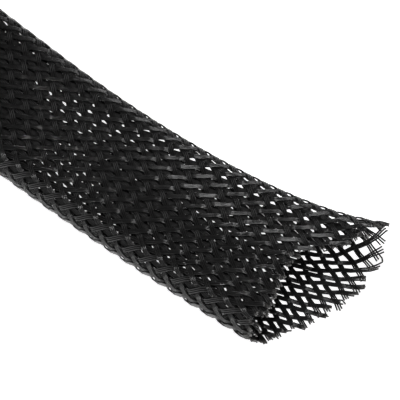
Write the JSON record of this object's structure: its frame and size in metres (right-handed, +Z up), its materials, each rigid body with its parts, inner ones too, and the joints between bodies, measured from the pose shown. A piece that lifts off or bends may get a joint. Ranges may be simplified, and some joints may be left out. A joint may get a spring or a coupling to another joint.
{
  "type": "braided cable sleeve",
  "caption": "Length of expandable braided cable sleeve that lies flat, cut square at one end and pushed open into a flared mouth at the other, for cables to run through.",
  "frame": {"origin": "under the middle of the sleeve's outer box, on the surface that it lies on", "axes": "+X along the sleeve towards its open mouth, +Y towards the side that the mouth turns to, +Z up"},
  "size_m": [1.0022, 0.0288, 0.0086],
  "materials": {
    "black_monofilament": "black polyester monofilament, satin, with a highlight along each strand"
  },
  "bodies": {
    "root": {"braided_sleeve": "black_monofilament"}
  },
  "joints": []
}
